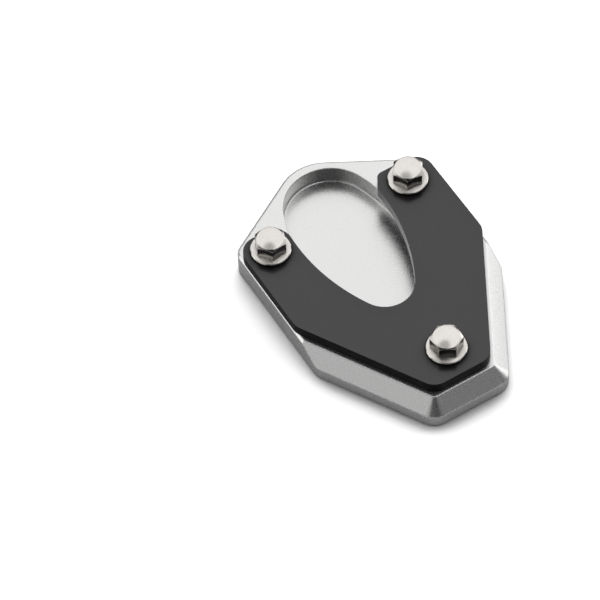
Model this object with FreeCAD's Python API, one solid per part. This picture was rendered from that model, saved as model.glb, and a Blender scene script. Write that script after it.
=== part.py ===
import FreeCAD, Part
import math
import os

# Foot enlarger for a motorcycle's side stand, in millimetres.
# A thick base spreads the load. The stand's own foot drops into the egg-shaped pocket in its top,
# and a thin clamp plate, screwed down by three flange bolts, reaches over the edge of that foot.
# The origin is on the ground, under the middle of the base's bounding box. +Z is up, +Y points to
# the pocket's rounded end, and -Y points to the broad, bevelled front.

# Base: each side is a straight line, given by its distance from the origin
base_thickness = 10.2
base_right = 45.4
base_rear_right = 43.3
base_rear = 52.6
base_rear_left = 47.4
base_left = 32.6
base_front_left = 36.6
base_front_right = 56.2

# Base: the front half has a wide 45 degree bevel, the rear half a narrow one
front_bevel = 5.1
rear_bevel = 0.85
ground_edge_break = 0.5

# Base: radii of its corners. The bevel's corners are sharper at the top than at the wall
front_corner_top_radius = 1.7
left_corner_radius = 6.4
rear_left_corner_radius = 4.8
rear_round_radius = 17.0
rear_corner_radius = 6.4
right_corner_radius = 2.1

# Clamp plate: flush with the base on its left and rear right sides, stepped in at the front
plate_thickness = 4.3
plate_right = 39.1
plate_rear_right = 43.2
plate_cut_end = 35.2
plate_left = 32.5
plate_front_left = 30.1
plate_front_right = 50.0
plate_corner_radius = 6.4

# Clamp plate: its opening is a rounded nose with two long bowed sides
nose_x = 4.7
nose_y = -2.7
opening_nose_radius = 10.4
opening_left_bow = 71.3
opening_right_bow = 75.3
left_arm_width = 18.8
rear_arm_tip_x = 3.8
rear_arm_tip_y = 36.6
rear_arm_tip_radius = 2.7

# Pocket for the stand's foot: two round ends, joined by bowed sides
pocket_floor_thickness = 3.2
pocket_end_x = -12.8
pocket_end_y = 32.7
pocket_end_radius = 16.5
pocket_nose_lip = 0.15
pocket_left_bow = 54.2
pocket_right_bow = 50.6
pocket_rim_break = 0.2
pocket_foot_radius = 0.5

# Bolts: M6 flange bolts, 12 mm long under the head
thread_diameter = 6.0
thread_clearance = 0.05
bolt_length = 12.0
bolt_end_chamfer = 0.8
plate_hole_diameter = 6.6
hole_mouth_break = 0.5
flange_diameter = 14.2
flange_rim_height = 0.95
flange_rim_break = 0.25
flange_height_at_hex = 1.4
hex_across_flats = 10.0
head_height = 7.3
crown_circle_radius = 4.7
crown_rise = 0.6
crown_chamfer_angle = 30.0

# Bolts: how far each axis lies inside the two plate edges nearest to it
left_bolt_from_left = 9.4
left_bolt_from_cut_end = 7.6
rear_bolt_from_rear_right = 10.6
rear_bolt_from_cut_end = 7.6
front_bolt_from_front_right = 11.2
front_bolt_from_right = 14.7

# Bolts: angle in plan of one corner of each tightened hex
left_bolt_corner = -82.0
rear_bolt_corner = -93.5
front_bolt_corner = -58.0

# Outward directions of the sides in plan, in degrees from +X. All lie on steps of 30 degrees
facing = {
    "right": 0,
    "rear right": 30,
    "rear": 90,
    "cut end": 120,
    "rear left": 150,
    "left": 210,
    "front left": 240,
    "front right": 300,
}

# How far a cutting solid runs past the faces that it cuts
overrun = 0.5
well_clear = 40.0


def vector(x, y, z=0.0):
    return FreeCAD.Vector(x, y, z)


def heading(degrees):
    """Unit vector in plan at this angle from +X."""
    angle = math.radians(degrees)
    return vector(math.cos(angle), math.sin(angle))


def crossing(side_a, side_b):
    """Point where two sides meet. A side is the name of its direction and a distance."""
    a = heading(facing[side_a[0]])
    b = heading(facing[side_b[0]])
    spread = a.x * b.y - a.y * b.x
    x = (side_a[1] * b.y - side_b[1] * a.y) / spread
    y = (a.x * side_b[1] - b.x * side_a[1]) / spread
    return vector(x, y)


def inside_corner(side_a, inset_a, side_b, inset_b):
    """Point that lies inside two sides by the given distances."""
    return crossing((side_a[0], side_a[1] - inset_a), (side_b[0], side_b[1] - inset_b))


def line(start, end):
    return Part.LineSegment(start, end).toShape()


def arc(centre, radius, start, end):
    """Counter-clockwise arc about a centre, from the direction of one point to that of another."""
    first = math.atan2(start.y - centre.y, start.x - centre.x)
    last = math.atan2(end.y - centre.y, end.x - centre.x)
    if last < first:
        last = last + 2 * math.pi
    spots = [centre + heading(math.degrees(turn)) * radius for turn in (first, (first + last) / 2, last)]
    return Part.Arc(*spots).toShape()


def outline(sides, radii, z=0.0):
    """Closed wire along the sides, counter-clockwise. Each radius rounds the corner after its side."""
    corners = []
    for number, side in enumerate(sides):
        following = sides[(number + 1) % len(sides)]
        outward = facing[side[0]]
        onward = facing[following[0]]
        turn = math.radians((onward - outward) % 360)
        corner = crossing(side, following) + vector(0, 0, z)
        reach = radii[number] * math.tan(turn / 2)
        start = corner - heading(outward + 90) * reach
        end = corner + heading(onward + 90) * reach
        corners.append((start, end, start - heading(outward) * radii[number]))
    edges = []
    for number in range(len(sides)):
        start, end, centre = corners[number]
        edges.append(line(corners[number - 1][1], start))
        if radii[number] > 0:
            edges.append(arc(centre, radii[number], start, end))
    return Part.Wire(edges)


def prism(wire, height):
    return Part.Face(wire).extrude(vector(0, 0, height))


def bevel_cutter(sides, radii, bevelled, size, top):
    """Solid that takes a 45 degree bevel off the top of the bevelled sides, and nothing off the rest."""
    def section(inset, z):
        moved = []
        rounded = []
        for number, side in enumerate(sides):
            following = sides[(number + 1) % len(sides)]
            shift = -inset if side[0] in bevelled else well_clear
            between = side[0] in bevelled and following[0] in bevelled
            moved.append((side[0], side[1] + shift))
            rounded.append(radii[number] - inset if between else 0.0)
        return outline(moved, rounded, z)

    low = top - size - overrun
    high = top + overrun
    kept = Part.makeLoft([section(-overrun, low), section(size + overrun, high)], True, True)
    reach = 4 * well_clear
    block = Part.makeBox(2 * reach, 2 * reach, high - low, vector(-reach, -reach, low))
    return block.cut(kept)


def bow(circle_a, circle_b, radius):
    """Large circle that holds two small ones and touches both from outside. Its centre lies on the
    right of the line from the first to the second. A point counts as a circle of radius 0."""
    base = circle_b[0] - circle_a[0]
    unit = base / base.Length
    reach_a = radius - circle_a[1]
    reach_b = radius - circle_b[1]
    along = (reach_a ** 2 - reach_b ** 2 + base.Length ** 2) / (2 * base.Length)
    across = math.sqrt(reach_a ** 2 - along ** 2)
    return circle_a[0] + unit * along + vector(unit.y, -unit.x) * across, radius


def touch(large, small):
    """Point where a small circle touches the large one that holds it."""
    away = small[0] - large[0]
    return large[0] + away * (large[1] / away.Length)


def plate_corner(side_a, side_b):
    """Corner of the clamp plate before rounding, from the directions of its two sides."""
    distance = dict(plate_sides)
    return crossing((side_a, distance[side_a]), (side_b, distance[side_b]))


def pocket_outline(z):
    """Egg-shaped wire of four tangent arcs at this height."""
    end = (vector(pocket_end_x, pocket_end_y), pocket_end_radius)
    nose = (vector(nose_x, nose_y), opening_nose_radius + pocket_nose_lip)
    left = bow(nose, end, pocket_left_bow)
    right = bow(end, nose, pocket_right_bow)
    arcs = [
        (end, touch(right, end), touch(left, end)),
        (left, touch(left, end), touch(left, nose)),
        (nose, touch(left, nose), touch(right, nose)),
        (right, touch(right, nose), touch(right, end)),
    ]
    wire = Part.Wire([arc(circle[0], circle[1], first, last) for circle, first, last in arcs])
    wire.translate(vector(0, 0, z))
    return wire


def opening_outline(left_tip, rear_tip):
    """Wire of the clamp plate's opening, run out past the plate's cut end."""
    nose = (vector(nose_x, nose_y), opening_nose_radius)
    left = bow(nose, (left_tip, 0.0), opening_left_bow)
    right = bow((rear_tip, 0.0), nose, opening_right_bow)
    leftmost = left[0] - vector(left[1], 0)
    far_left = leftmost + vector(0, well_clear)
    far_right = vector(rear_tip.x, far_left.y)
    edges = [
        arc(left[0], left[1], leftmost, touch(left, nose)),
        arc(nose[0], nose[1], touch(left, nose), touch(right, nose)),
        arc(right[0], right[1], touch(right, nose), rear_tip),
        line(rear_tip, far_right),
        line(far_right, far_left),
        line(far_left, leftmost),
    ]
    return Part.Wire(edges)


def nearest_edge(solid, spot):
    """The edge whose middle lies nearest to a point."""
    return min(solid.Edges, key=lambda edge: (edge.CenterOfMass - spot).Length)


def upright_edge(solid, spot):
    """The vertical edge that stands nearest to a point in plan."""
    upright = [edge for edge in solid.Edges if abs(edge.tangentAt(edge.FirstParameter).z) > 0.99]
    return min(upright, key=lambda edge: math.hypot(edge.CenterOfMass.x - spot.x, edge.CenterOfMass.y - spot.y))


def bolt_hole(spot, radius, bottom, top):
    """Cylinder to cut, run past both faces."""
    height = top - bottom + 2 * overrun
    return Part.makeCylinder(radius, height, spot + vector(0, 0, bottom - overrun))


def foot_base():
    """Base block: bevelled top, broken ground edge, pocket and three tapped holes right through."""
    block = prism(outline(base_sides, base_radii), base_thickness)
    ground_edges = [edge for edge in block.Edges if edge.BoundBox.ZMax < 1e-6]
    block = block.makeChamfer(ground_edge_break, ground_edges)
    front = ("front left", "front right", "right")
    rear = ("rear right", "rear", "rear left", "left")
    block = block.cut(bevel_cutter(base_sides, base_radii, front, front_bevel, base_thickness))
    block = block.cut(bevel_cutter(base_sides, base_radii, rear, rear_bevel, base_thickness))
    depth = base_thickness - pocket_floor_thickness
    foot = pocket_outline(pocket_floor_thickness)
    block = block.cut(prism(foot, depth + overrun))
    foot_edges = [nearest_edge(block, edge.CenterOfMass) for edge in foot.Edges]
    block = block.makeFillet(pocket_foot_radius, foot_edges)
    rim = [nearest_edge(block, edge.CenterOfMass) for edge in pocket_outline(base_thickness).Edges]
    block = block.makeChamfer(pocket_rim_break, rim)
    hole_radius = thread_diameter / 2 + thread_clearance
    for spot in bolt_spots:
        block = block.cut(bolt_hole(spot, hole_radius, 0.0, base_thickness))
        mouth = hole_radius + hole_mouth_break
        block = block.cut(Part.makeCone(mouth + overrun, hole_radius - overrun,
                                        hole_mouth_break + 2 * overrun, spot - vector(0, 0, overrun)))
    return block


def clamp_plate():
    """Clamp plate on the base: rounded outline, open at the rear so that two arms hold the foot."""
    corners = [plate_corner_radius] * len(plate_sides)
    plate = prism(outline(plate_sides, corners), plate_thickness)
    along_cut_end = heading(facing["cut end"] - 90)
    left_tip = plate_corner("cut end", "left") + along_cut_end * left_arm_width
    rear_tip = vector(rear_arm_tip_x, rear_arm_tip_y)
    plate = plate.cut(prism(opening_outline(left_tip, rear_tip), plate_thickness))
    rear_tip_corner = crossing(("cut end", plate_cut_end), ("right", rear_arm_tip_x))
    plate = plate.makeFillet(plate_corner_radius, [upright_edge(plate, left_tip)])
    plate = plate.makeFillet(rear_arm_tip_radius, [upright_edge(plate, rear_tip_corner)])
    for spot in bolt_spots:
        plate = plate.cut(bolt_hole(spot, plate_hole_diameter / 2, 0.0, plate_thickness))
    plate.translate(vector(0, 0, base_thickness))
    return plate


def turned(edges):
    """Solid of revolution about the Z axis from a closed profile in the XZ plane."""
    return Part.Face(Part.Wire(edges)).revolve(vector(0, 0), vector(0, 0, 1), 360)


def profile(spots):
    """Open chain of lines through points given as radius and height."""
    points = [vector(radius, 0, height) for radius, height in spots]
    return [line(start, end) for start, end in zip(points, points[1:])]


def flange_bolt(corner):
    """M6 flange bolt, head up, with its seat at height 0 and a corner of the hex at this angle."""
    thread_radius = thread_diameter / 2
    flange_radius = flange_diameter / 2
    shank_and_flange = turned(profile([
        (0, -bolt_length),
        (thread_radius - bolt_end_chamfer, -bolt_length),
        (thread_radius, bolt_end_chamfer - bolt_length),
        (thread_radius, 0),
        (flange_radius, 0),
        (flange_radius, flange_rim_height - flange_rim_break),
        (flange_radius - flange_rim_break, flange_rim_height),
        (hex_across_flats / 2, flange_height_at_hex),
        (0, flange_height_at_hex),
        (0, -bolt_length),
    ]))

    hex_corner = hex_across_flats / 2 / math.cos(math.radians(30))
    corners = [heading(corner + 60 * number) * hex_corner for number in range(7)]
    hex_base = flange_rim_height / 2
    hexagon = prism(Part.makePolygon(corners), head_height)
    hexagon.translate(vector(0, 0, hex_base))

    crown_height = head_height - crown_rise
    slope = math.tan(math.radians(crown_chamfer_angle))
    blank_radius = 2 * hex_corner
    chamfer = turned(profile([
        (0, 0),
        (blank_radius, 0),
        (blank_radius, crown_height - (blank_radius - crown_circle_radius) * slope),
        (0, crown_height + crown_circle_radius * slope),
        (0, 0),
    ]))
    dome_radius = (crown_circle_radius ** 2 + crown_rise ** 2) / (2 * crown_rise)
    dome_centre = vector(0, 0, head_height - dome_radius)
    dome = Part.makeSphere(dome_radius, dome_centre, vector(-1, 0))
    hexagon = hexagon.common(chamfer).common(dome)
    return shank_and_flange.fuse(hexagon).removeSplitter()


base_sides = [
    ("right", base_right),
    ("rear right", base_rear_right),
    ("rear", base_rear),
    ("rear left", base_rear_left),
    ("left", base_left),
    ("front left", base_front_left),
    ("front right", base_front_right),
]
front_corner_radius = front_corner_top_radius + front_bevel
base_radii = [
    right_corner_radius,
    rear_corner_radius,
    rear_round_radius,
    rear_left_corner_radius,
    left_corner_radius,
    front_corner_radius,
    front_corner_radius,
]
plate_sides = [
    ("right", plate_right),
    ("rear right", plate_rear_right),
    ("cut end", plate_cut_end),
    ("left", plate_left),
    ("front left", plate_front_left),
    ("front right", plate_front_right),
]
left_bolt = inside_corner(("left", plate_left), left_bolt_from_left,
                          ("cut end", plate_cut_end), left_bolt_from_cut_end)
rear_bolt = inside_corner(("rear right", plate_rear_right), rear_bolt_from_rear_right,
                          ("cut end", plate_cut_end), rear_bolt_from_cut_end)
front_bolt = inside_corner(("front right", plate_front_right), front_bolt_from_front_right,
                           ("right", plate_right), front_bolt_from_right)
bolt_spots = [left_bolt, rear_bolt, front_bolt]

pieces = {
    "foot_base": foot_base(),
    "clamp_plate": clamp_plate(),
}
bolts = [
    ("flange_bolt_left", left_bolt, left_bolt_corner),
    ("flange_bolt_rear", rear_bolt, rear_bolt_corner),
    ("flange_bolt_front", front_bolt, front_bolt_corner),
]
for name, spot, corner in bolts:
    bolt = flange_bolt(corner)
    bolt.translate(spot + vector(0, 0, base_thickness + plate_thickness))
    pieces[name] = bolt

os.makedirs("parts", exist_ok=True)
for name, shape in pieces.items():
    shape.exportStep("parts/" + name + ".step")
    box = shape.optimalBoundingBox()
    print(name, "solids", len(shape.Solids), "valid", shape.isValid(), "volume", round(shape.Volume, 1),
          "x", round(box.XMin, 2), round(box.XMax, 2), "y", round(box.YMin, 2), round(box.YMax, 2),
          "z", round(box.ZMin, 2), round(box.ZMax, 2))
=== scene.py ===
# %% [markdown]
# # A foot enlarger for a motorcycle's side stand
# On soft ground a side stand's small foot sinks in. This part is bolted round that foot and
# spreads the load. A thick silver base has a pocket for the foot, and a black plate with two arms
# is bolted on top and reaches over the foot's edge. The shapes come finished from the CAD model.
# This file gives them their surfaces, light and camera. It adds only the last turns of the threads
# under the bolts, which show from below.

# %% Load the finished shapes
import math
import bmesh
import bpy
from mathutils import Matrix, Vector


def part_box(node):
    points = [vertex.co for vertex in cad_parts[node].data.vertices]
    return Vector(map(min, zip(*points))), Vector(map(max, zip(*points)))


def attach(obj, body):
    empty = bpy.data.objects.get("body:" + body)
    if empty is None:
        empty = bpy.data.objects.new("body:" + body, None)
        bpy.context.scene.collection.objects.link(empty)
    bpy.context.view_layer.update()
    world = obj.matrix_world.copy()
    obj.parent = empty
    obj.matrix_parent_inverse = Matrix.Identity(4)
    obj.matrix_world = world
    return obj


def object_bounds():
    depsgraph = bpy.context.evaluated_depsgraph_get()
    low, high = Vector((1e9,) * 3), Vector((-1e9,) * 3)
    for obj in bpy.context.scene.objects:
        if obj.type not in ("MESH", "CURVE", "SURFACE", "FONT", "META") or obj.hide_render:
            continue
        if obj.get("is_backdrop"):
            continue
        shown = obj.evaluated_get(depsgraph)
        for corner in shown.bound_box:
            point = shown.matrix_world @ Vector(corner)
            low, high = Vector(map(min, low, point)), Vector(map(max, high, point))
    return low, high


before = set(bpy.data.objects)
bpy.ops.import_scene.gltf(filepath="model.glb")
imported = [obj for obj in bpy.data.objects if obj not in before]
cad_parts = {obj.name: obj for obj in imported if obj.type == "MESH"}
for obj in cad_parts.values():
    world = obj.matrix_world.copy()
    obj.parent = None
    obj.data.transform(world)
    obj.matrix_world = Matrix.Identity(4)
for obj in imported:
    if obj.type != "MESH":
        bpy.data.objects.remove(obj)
cad_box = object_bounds()
scene = bpy.context.scene
print("pieces from CAD:", sorted(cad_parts))
print("size in mm:", [round(1000 * (b - a), 1) for a, b in zip(*cad_box)])

# %% [markdown]
# ## The camera
# The object was seen with a long lens from about 1.2 m away and 56 degrees above the table. A long
# lens keeps parallel edges nearly parallel. Three turns place it, and they are easiest to read from
# right to left: a small roll, the tilt down, and a small turn round the upright axis.

# %% Place the camera
camera_place = Vector((-0.01312, -0.70040, 1.02440))
camera_turn = math.radians(0.93)
camera_tilt = math.radians(34.4)
camera_roll = math.radians(-2.9)
lens_mm = 216.1
sensor_mm = 36.0
nearest_seen = 0.05
farthest_seen = 100.0

camera_data = bpy.data.cameras.new("camera")
camera_data.lens = lens_mm
camera_data.sensor_width = sensor_mm
camera_data.clip_start = nearest_seen
camera_data.clip_end = farthest_seen
camera = bpy.data.objects.new("camera", camera_data)
scene.collection.objects.link(camera)
camera.matrix_world = (
    Matrix.Translation(camera_place)
    @ Matrix.Rotation(camera_turn, 4, "Z")
    @ Matrix.Rotation(camera_tilt, 4, "X")
    @ Matrix.Rotation(camera_roll, 4, "Z")
)
scene.camera = camera
scene.view_settings.view_transform = "Standard"
print("camera is", round(camera_place.length, 2), "m from the object")

# %% [markdown]
# ## Helpers for node trees
# Every surface and light below is a tree of nodes. Most nodes are made, set and linked in the same
# way, so a few small functions do it. A value given to a node can be a plain number or the output
# of another node, which is then linked. The commonest step is to grade a value: to turn one range
# of numbers into another and hold it at the ends.

# %% Write the helpers


def add(tree, kind, *sources, **values):
    """A new node. sources fill its inputs in order, values its settings or inputs by name.

    A setting such as data_type decides which inputs a node has, so settings are named first.
    """
    node = tree.nodes.new(kind)
    wanted = list(zip(node.inputs, sources))
    for name, value in values.items():
        if hasattr(node, name):
            setattr(node, name, value)
        else:
            wanted.append((node.inputs[name.replace("_", " ")], value))
    for socket, value in wanted:
        if isinstance(value, bpy.types.NodeSocket):
            tree.links.new(value, socket)
        else:
            socket.default_value = value
    return node


def calculate(tree, operation, *sources):
    """The result of one sum on numbers."""
    return add(tree, "ShaderNodeMath", *sources, operation=operation).outputs["Value"]


def dot_product(tree, first, second):
    """How far two directions agree: 1 when they are the same and 0 at a right angle."""
    node = add(tree, "ShaderNodeVectorMath", first, second, operation="DOT_PRODUCT")
    return node.outputs["Value"]


def grade(tree, value, before, after, smooth=True):
    """Turns the range before into the range after. Smooth grading starts and ends gently."""
    node = add(tree, "ShaderNodeMapRange", Value=value)
    node.interpolation_type = "SMOOTHSTEP" if smooth else "LINEAR"
    for name, number in zip(("From Min", "From Max", "To Min", "To Max"), (*before, *after)):
        node.inputs[name].default_value = number
    return node.outputs["Result"]


def blend(tree, data_type, share, first, second):
    """A mix of two numbers (FLOAT) or colours (RGBA). Share 0 gives the first."""
    node = add(tree, "ShaderNodeMix", data_type=data_type, Factor=share, A=first, B=second)
    return node.outputs["Result"]


def new_material(name):
    """An empty node material with its output node."""
    material = bpy.data.materials.new(name)
    material.use_nodes = True
    material.node_tree.nodes.clear()
    out = material.node_tree.nodes.new("ShaderNodeOutputMaterial")
    return material, material.node_tree, out


def new_group(name, inputs, outputs):
    """A shader node group with float inputs (name, value) and outputs (name, kind)."""
    group = bpy.data.node_groups.new(name, "ShaderNodeTree")
    for label, value in inputs:
        socket = group.interface.new_socket(label, in_out="INPUT", socket_type="NodeSocketFloat")
        socket.default_value = value
    for label, kind in outputs:
        group.interface.new_socket(label, in_out="OUTPUT", socket_type=kind)
    start = group.nodes.new("NodeGroupInput")
    end = group.nodes.new("NodeGroupOutput")
    return group, start, end


white = (1.0, 1.0, 1.0, 1.0)
no_colour = (0.0, 0.0, 0.0, 1.0)
print("helpers are ready")

# %% [markdown]
# ## The floor
# The object lies on a pale, even floor. The floor's colour has three tones, because a truly white
# floor would throw much light back up at the metal. For the light that bounces it is a light grey.
# For what the metal mirrors it has a painted shade: dim close to the object, where the object's own
# shade would lie, and white farther out. The camera sees it white, with a painted contact shadow
# where the object touches it, on the side that faces away from the light. The floor lies a hair
# below the object, because two faces at exactly the same height would show through each other in
# patches.

# %% Make the floor
floor_half = 12.0
floor_drop = 0.00005
floor_colour = 0.72
floor_white = 2.1
light_from = (-0.067, 0.763, 0.643)
contact_reach = 0.010
contact_range = (0.29, 0.78)
contact_dark = 0.32
contact_samples = 12
mirror_ring = (0.09, 0.16)
mirror_dark = 0.30

bm = bmesh.new()
bmesh.ops.create_grid(bm, x_segments=1, y_segments=1, size=floor_half)
floor_mesh = bpy.data.meshes.new("floor")
bm.to_mesh(floor_mesh)
bm.free()
floor = bpy.data.objects.new("floor", floor_mesh)
floor.location.z = -floor_drop
scene.collection.objects.link(floor)

floor_material, tree, out = new_material("pale_floor")
aim = add(tree, "ShaderNodeCombineXYZ", *light_from)
# painted contact shadow: the floor's colour for the camera darkens where the object is close, on
# the side away from the light
openness = add(tree, "ShaderNodeAmbientOcclusion", samples=contact_samples,
               Distance=contact_reach, Normal=aim.outputs["Vector"])
camera_tone = grade(tree, openness.outputs["AO"], contact_range,
                    (contact_dark * floor_white, floor_white))
place = add(tree, "ShaderNodeTexCoord")
far = add(tree, "ShaderNodeVectorMath", place.outputs["Object"], operation="LENGTH")
# painted shade: the floor that the metal mirrors is dim close to the object
mirror_tone = grade(tree, far.outputs["Value"], mirror_ring,
                    (mirror_dark * floor_white, floor_white))

paths = add(tree, "ShaderNodeLightPath")
mirrored = calculate(tree, "MAXIMUM", paths.outputs["Is Glossy Ray"],
                     paths.outputs["Is Transmission Ray"])
tone = blend(tree, "FLOAT", mirrored, floor_colour, mirror_tone)
tone = blend(tree, "FLOAT", paths.outputs["Is Camera Ray"], tone, camera_tone)
diffuse = add(tree, "ShaderNodeBsdfDiffuse", Color=tone)
tree.links.new(diffuse.outputs["BSDF"], out.inputs["Surface"])
floor_mesh.materials.append(floor_material)
floor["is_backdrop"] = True
print("floor is", 2 * floor_half, "m wide")

# %% [markdown]
# ## The light
# Metal shows its surroundings, so the light is chosen for what each face mirrors. The flat tops
# mirror the bright panels behind the object. The bevel at the front left mirrors a dimmer panel,
# and the one at the front right an almost dark room. Low panels at the sides light the side bevel
# and the rounded corners. A small darker patch near the zenith leaves a smudge on the domed bolt
# heads. Lamps could do this too, but light that comes from the world is the same at every spot of
# the floor, so the floor looks even from all sides. Each panel is a soft round patch of the world
# round one direction, and where two meet the brighter one counts.

# %% Hang the light panels
room_brightness = 0.02
light_panels = [
    # name, azimuth from the right, elevation, full width, faded width, brightness
    ("behind", 92, 54, 54, 78, 1.19),
    ("behind_left", 136, 46, 36, 66, 1.10),
    ("behind_right", 42, 54, 36, 64, 1.00),
    ("low_right_behind", 34, 3, 34, 66, 1.80),
    ("low_left", 180, 12, 20, 44, 1.60),
    ("left", 182, 44, 20, 50, 0.27),
    ("right", 5, 39, 30, 60, 0.45),
    ("front_left", 221, 28, 28, 48, 0.66),
    ("front_right", 320, 27, 26, 50, 0.23),
    ("front", 270, 31, 12, 44, 0.11),
    ("overhead", 270, 88, 8, 24, 0.40),
    ("overhead_left", 180, 74, 10, 32, 0.95),
    ("overhead_right", 355, 74, 12, 34, 1.60),
]
overhead_shade = (103, 77, 10, 28, 0.55)

world = bpy.data.worlds.new("light_panels")
world.use_nodes = True
tree = world.node_tree
sky = tree.nodes["Background"]
skyward = add(tree, "ShaderNodeTexCoord")


def towards(azimuth, elevation):
    """Direction of a panel. Azimuth 0 is to the right and 90 behind, both in degrees."""
    a = math.radians(azimuth)
    e = math.radians(elevation)
    return Vector((math.cos(a) * math.cos(e), math.sin(a) * math.cos(e), math.sin(e)))


def patch(azimuth, elevation, full, faded, brightness):
    """Brightness that is full inside one width, in degrees, and fades to none at the other."""
    near = dot_product(tree, skyward.outputs["Generated"], towards(azimuth, elevation))
    edges = [math.cos(math.radians(width / 2)) for width in (faded, full)]
    return grade(tree, near, edges, (0.0, brightness))


brightest = room_brightness
for name, *panel in light_panels:
    brightest = calculate(tree, "MAXIMUM", brightest, patch(*panel))
    print("panel", name, "is", panel[-1], "bright")
light_kept = calculate(tree, "SUBTRACT", 1.0, patch(*overhead_shade))
shaded = calculate(tree, "MULTIPLY", brightest, light_kept)
tree.links.new(shaded, sky.inputs["Strength"])
sky.inputs["Color"].default_value = white
scene.world = world

# %% [markdown]
# ## A shared effect: fine grain
# Blasting, anodising and rolling all leave a fine grain. One node group makes it for every
# finish: a fine noise for the grains and a slower one for the unevenness of the whole surface. It
# reads Object coordinates, in metres, so the grain keeps its real size on every piece.

# %% Build the grain group
noise_detail = 2.0
fine_noise_roughness = 0.55
slow_noise_roughness = 0.5

grain_group, start, end = new_group(
    "fine_grain",
    [("Grain Size", 0.0002), ("Patch Size", 0.02), ("Patch Share", 0.3)],
    [("Mask", "NodeSocketFloat"), ("Height", "NodeSocketFloat")],
)
place = add(grain_group, "ShaderNodeTexCoord")


def noise(size, roughness):
    """Noise whose grains have the size that a group input gives."""
    per_metre = calculate(grain_group, "DIVIDE", 1.0, start.outputs[size])
    node = add(grain_group, "ShaderNodeTexNoise", Vector=place.outputs["Object"],
               Scale=per_metre, Detail=noise_detail, Roughness=roughness)
    return node.outputs["Fac"]


fine = noise("Grain Size", fine_noise_roughness)
slow = noise("Patch Size", slow_noise_roughness)
mask = blend(grain_group, "FLOAT", start.outputs["Patch Share"], fine, slow)
grain_group.links.new(mask, end.inputs["Mask"])
grain_group.links.new(fine, end.inputs["Height"])
print("grain group has", len(grain_group.nodes), "nodes")

# %% [markdown]
# ## A shared effect: worn edges with a painted highlight
# No real edge is sharp. Deburring and handling leave a tiny round that catches the light as a thin
# line. The shapes keep their crisp edges, and the shader rounds them in the shading alone: the
# Bevel node gives the smoothed normal, and where it differs from the flat face there is an edge.
# The recipe below gives these edges a lighter colour, partly wear and partly a painted highlight.

# %% Build the edge group
bevel_samples = 6

edge_group, start, end = new_group(
    "edge_wear_and_highlight",
    [("Sharpness", 6.0), ("Radius", 0.0003)],
    [("Edge", "NodeSocketFloat"), ("Normal", "NodeSocketVector")],
)
soft = add(edge_group, "ShaderNodeBevel", samples=bevel_samples, Radius=start.outputs["Radius"])
flat = add(edge_group, "ShaderNodeNewGeometry")
alike = dot_product(edge_group, soft.outputs["Normal"], flat.outputs["Normal"])
unlike = calculate(edge_group, "SUBTRACT", 1.0, alike)
stronger = add(edge_group, "ShaderNodeMath", unlike, start.outputs["Sharpness"],
               operation="MULTIPLY", use_clamp=True)
edge_group.links.new(stronger.outputs["Value"], end.inputs["Edge"])
edge_group.links.new(soft.outputs["Normal"], end.inputs["Normal"])
print("edge group has", len(edge_group.nodes), "nodes")

# %% [markdown]
# ## A shared effect: painted shade in crevices
# Little light gets into the corner where a flange lies on the plate or a wall meets a floor, so the
# materials paint a shade there. The Ambient Occlusion node measures how open a spot is within a
# short reach. Its direction can lean towards the light behind the object, so that the side away
# from the light gets a darker painted shade. The group gives 0 in a closed corner and 1 in the
# open.

# %% Build the crevice group
crevice_samples = 8

crevice_group, start, end = new_group(
    "painted_crevice_shade",
    [("Reach", 0.002), ("Lean", 0.0), ("Closed", 0.4), ("Open", 0.9)],
    [("Openness", "NodeSocketFloat")],
)
aim = add(crevice_group, "ShaderNodeCombineXYZ", *light_from)
lean = add(crevice_group, "ShaderNodeVectorMath", operation="SCALE",
           Vector=aim.outputs["Vector"], Scale=start.outputs["Lean"])
flat = add(crevice_group, "ShaderNodeNewGeometry")
leaning = add(crevice_group, "ShaderNodeVectorMath", flat.outputs["Normal"],
              lean.outputs["Vector"], operation="ADD")
direction = add(crevice_group, "ShaderNodeVectorMath", leaning.outputs["Vector"],
                operation="NORMALIZE")
# painted shade: how closed a spot is decides how much darker it is painted
openness = add(crevice_group, "ShaderNodeAmbientOcclusion", samples=crevice_samples,
               Distance=start.outputs["Reach"], Normal=direction.outputs["Vector"])
graded = add(crevice_group, "ShaderNodeMapRange", interpolation_type="SMOOTHSTEP",
             Value=openness.outputs["AO"], From_Min=start.outputs["Closed"],
             From_Max=start.outputs["Open"])
crevice_group.links.new(graded.outputs["Result"], end.inputs["Openness"])
print("crevice group has", len(crevice_group.nodes), "nodes")

# %% [markdown]
# ## One recipe for three finishes
# All three surfaces are made in the same way: the grain varies the colour and roughness and dents
# the surface, edges get a lighter colour, partly wear and partly a painted highlight, and a rounded
# normal, and crevices get a painted shade. Only the numbers differ. The groups give masks and
# normals, and the shader itself stays in each material.

# %% Write the recipe
noise_range = (0.3, 0.7)


def painted_shade_share(tree, reach, lean, closed, open_from, darkest):
    """Share of light left by the painted crevice shade: darkest in a closed corner, 1 in the open.
    """
    corner = add(tree, "ShaderNodeGroup", node_tree=crevice_group,
                 Reach=reach, Lean=lean, Closed=closed, Open=open_from)
    return grade(tree, corner.outputs["Openness"], (0.0, 1.0), (darkest, 1.0), smooth=False)


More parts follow.
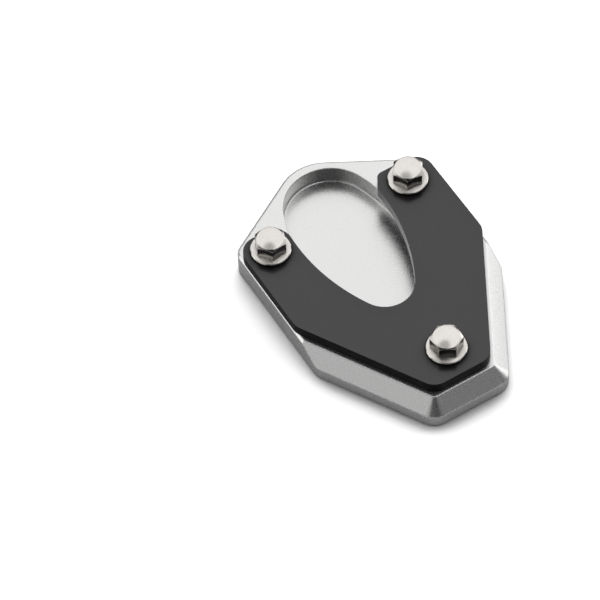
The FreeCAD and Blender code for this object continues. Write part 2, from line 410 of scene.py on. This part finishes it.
def finish(name, dark, light, edge, round_edge, rough, grain, bump, crevice, metallic,
           specular=0.5):
    """A metal or anodised finish.

    dark and light are the colours between which the grain varies and edge the lighter colour of
    the edges, partly wear and partly a painted highlight, which look as if they had the radius
    round_edge. rough gives the least and most roughness, grain the sizes (grain, patch) and the
    patches' share, bump the strength and depth of the grain, and crevice the values for the
    painted shade in crevices.
    """
    material, tree, out = new_material(name)
    grain_size, patch_size, patch_share = grain
    strength, depth = bump
    texture = add(tree, "ShaderNodeGroup", node_tree=grain_group, Grain_Size=grain_size,
                  Patch_Size=patch_size, Patch_Share=patch_share)
    edges = add(tree, "ShaderNodeGroup", node_tree=edge_group, Radius=round_edge)
    mask = texture.outputs["Mask"]
    spread = grade(tree, mask, noise_range, (0.0, 1.0), smooth=False)
    colour = blend(tree, "RGBA", spread, (*dark, 1.0), (*light, 1.0))
    # partly wear and partly a painted highlight: the edges get the lighter edge colour
    wear_and_highlight = blend(tree, "RGBA", edges.outputs["Edge"], colour, (*edge, 1.0))
    # painted shade: the colour darkens towards black in crevices and on the side away from the
    # light
    seen = blend(tree, "RGBA", painted_shade_share(tree, *crevice), no_colour, wear_and_highlight)
    relief = add(tree, "ShaderNodeBump", Strength=strength, Distance=depth,
                 Height=texture.outputs["Height"], Normal=edges.outputs["Normal"])
    shader = add(
        tree,
        "ShaderNodeBsdfPrincipled",
        Metallic=metallic,
        Specular_IOR_Level=specular,
        Base_Color=seen,
        Roughness=grade(tree, mask, noise_range, rough, smooth=False),
        Normal=relief.outputs["Normal"],
    )
    tree.links.new(shader.outputs["BSDF"], out.inputs["Surface"])
    print(name, "has", len(tree.nodes), "nodes")
    return material


def paint(piece, material):
    """Puts the material in every slot of the piece."""
    if not piece.data.materials:
        piece.data.materials.append(material)
    for slot in piece.material_slots:
        slot.material = material


print("the grain counts between", *noise_range)

# %% [markdown]
# ## The base: bead-blasted silver aluminium
# The base is cut from thick aluminium plate, blasted with fine glass beads and clear anodised. The
# beads leave thousands of tiny dents, so the metal is even and matt, with a fine sparkle.

# %% Finish the base
silver = finish(
    "bead_blasted_aluminium",
    dark=(0.66, 0.66, 0.655),
    light=(0.73, 0.73, 0.725),
    edge=(0.88, 0.88, 0.88),
    round_edge=0.0007,
    rough=(0.24, 0.32),
    grain=(0.00036, 0.0016, 0.35),
    bump=(0.36, 0.00004),
    # painted shade in the base's corners, such as the foot of the pocket's wall
    crevice=(0.0012, 0.0, 0.35, 0.80, 0.45),
    metallic=1.0,
)
paint(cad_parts["foot_base"], silver)

# %% [markdown]
# ## The clamp plate: black anodised aluminium
# The plate is dyed black in the anodising bath. The dye lies in a thin clear oxide layer, so the
# surface is not metallic: nearly black below, with a clear coat that mirrors the light softly. The
# flat faces are rolled smooth and have most of that sheen. The coat is weaker where the surface
# turns away from the level, a painted shade that keeps the outer walls almost black. The wall of
# the opening keeps the full coat and mirrors the bright pocket below it. A wall belongs to the
# opening when it faces the opening's middle, and a dot product tells that. Round the bolts' flanges
# the crevice group takes the sheen away, a painted shade.

# %% Finish the clamp plate
face_sheen = 0.72
wall_sheen = 0.10
opening_sheen = 1.0
opening_middle = (-0.004, 0.015, 0.0)
level_only = (1.0, 1.0, 0.0)
towards_middle = (0.001, 0.004)
wall_to_face = (0.5, 0.9)
coat_roughness = 0.20
coat_ior = 1.72
plate_crevice = (0.0050, 1.0, 0.60, 0.96, 0.05)

black = finish(
    "black_anodised_aluminium",
    dark=(0.0085, 0.0055, 0.0085),
    light=(0.0125, 0.0085, 0.0125),
    edge=(0.02, 0.016, 0.02),
    round_edge=0.00012,
    rough=(0.50, 0.60),
    grain=(0.00030, 0.015, 0.4),
    bump=(0.20, 0.00002),
    crevice=plate_crevice,
    metallic=0.0,
    specular=0.1,
)
tree = black.node_tree
shader = tree.nodes["Principled BSDF"]
shader.inputs["Coat Roughness"].default_value = coat_roughness
shader.inputs["Coat IOR"].default_value = coat_ior

facing = add(tree, "ShaderNodeNewGeometry")
parts = add(tree, "ShaderNodeSeparateXYZ", facing.outputs["Normal"])
# painted shade: the coat fades on the walls so that they stay almost black
sheen = grade(tree, parts.outputs["Z"], wall_to_face, (wall_sheen, face_sheen), smooth=False)

place = add(tree, "ShaderNodeTexCoord")
inward = add(tree, "ShaderNodeVectorMath", opening_middle, place.outputs["Object"],
             operation="SUBTRACT")
level = add(tree, "ShaderNodeVectorMath", inward.outputs["Vector"], level_only,
            operation="MULTIPLY")
facing_middle = dot_product(tree, level.outputs["Vector"], facing.outputs["Normal"])
opening = grade(tree, facing_middle, towards_middle, (0.0, opening_sheen), smooth=False)

coat = calculate(tree, "MAXIMUM", sheen, opening)
# painted shade: the coat fades round the flanges and on the side away from the light
coat = calculate(tree, "MULTIPLY", coat, painted_shade_share(tree, *plate_crevice))
tree.links.new(coat, shader.inputs["Coat Weight"])
paint(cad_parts["clamp_plate"], black)
print("with its sheen the plate's finish has", len(tree.nodes), "nodes")

# %% [markdown]
# ## The bolts: stainless steel
# The three flange bolts are cold formed from stainless steel and tumbled smooth. They are the
# shiniest pieces, slightly warmer in colour than the base, with faint uneven patches. The hexagon's
# front sides and the corner where they meet the flange get a painted shade from the crevice group.

# %% Finish the bolts
steel = finish(
    "stainless_steel",
    dark=(0.61, 0.585, 0.555),
    light=(0.71, 0.685, 0.655),
    edge=(0.78, 0.76, 0.73),
    round_edge=0.00022,
    rough=(0.11, 0.22),
    grain=(0.0005, 0.0035, 0.5),
    bump=(0.20, 0.00002),
    # painted shade on the hexagon's front sides and round the flange, leaning away from the light
    crevice=(0.0032, 1.0, 0.36, 0.83, 0.18),
    metallic=1.0,
)
for name in ("flange_bolt_left", "flange_bolt_rear", "flange_bolt_front"):
    paint(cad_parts[name], steel)

# %% [markdown]
# ## The threads under the bolts
# The bolts screw straight into the base and end above its underside, so the last turns of the
# tapped thread can be seen from below. A ridge with the thread's section could be drawn as a curve
# or made with the Screw modifier. Here the section, wide at the wall and narrow at the crest, is
# spun with a rise per turn, which is how a tap cuts it.

# %% Make the thread ridges
thread_pitch = 0.0010
hole_radius = 0.00305
thread_inner_radius = 0.00250
thread_low = 0.00062
thread_turns = 1.15
steps_per_turn = 40
wall_share = 0.42
crest_share = 0.08


def thread_ridge(name, centre_x, centre_y):
    """A helical ridge inside one tapped hole, low in the base."""
    bm = bmesh.new()
    half = wall_share * thread_pitch
    crest = crest_share * thread_pitch
    section = [
        bm.verts.new((hole_radius, 0.0, -half)),
        bm.verts.new((thread_inner_radius, 0.0, -crest)),
        bm.verts.new((thread_inner_radius, 0.0, crest)),
        bm.verts.new((hole_radius, 0.0, half)),
    ]
    first = bm.faces.new(section)
    spun = bmesh.ops.spin(
        bm,
        geom=list(first.edges),
        cent=(0.0, 0.0, 0.0),
        axis=(0.0, 0.0, 1.0),
        dvec=(0.0, 0.0, thread_pitch / steps_per_turn),
        angle=2 * math.pi * thread_turns,
        steps=int(steps_per_turn * thread_turns),
    )
    last = [item for item in spun["geom_last"] if isinstance(item, bmesh.types.BMEdge)]
    bmesh.ops.contextual_create(bm, geom=last)
    bmesh.ops.recalc_face_normals(bm, faces=bm.faces)
    bmesh.ops.translate(bm, verts=bm.verts, vec=(centre_x, centre_y, thread_low + half))
    mesh = bpy.data.meshes.new(name)
    bm.to_mesh(mesh)
    bm.free()
    mesh.shade_smooth()
    piece = bpy.data.objects.new(name, mesh)
    scene.collection.objects.link(piece)
    paint(piece, silver)
    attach(piece, "root")
    return piece


for side in ("left", "rear", "front"):
    low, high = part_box("flange_bolt_" + side)
    ridge = thread_ridge("thread_" + side, (low.x + high.x) / 2, (low.y + high.y) / 2)
    heights = [1000 * v.co.z for v in ridge.data.vertices]
    print(ridge.name, "from", round(min(heights), 2), "to", round(max(heights), 2), "mm")

# %% [markdown]
# ## Check the size and finish
# The looks must not change the size of the part, so the box after them is compared with the CAD
# box.

# %% Compare both boxes and finish
seen_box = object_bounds()
changes = [abs(a - b) for p, q in zip(cad_box, seen_box) for a, b in zip(p, q)]
print("largest change in mm:", round(1000 * max(changes), 3))
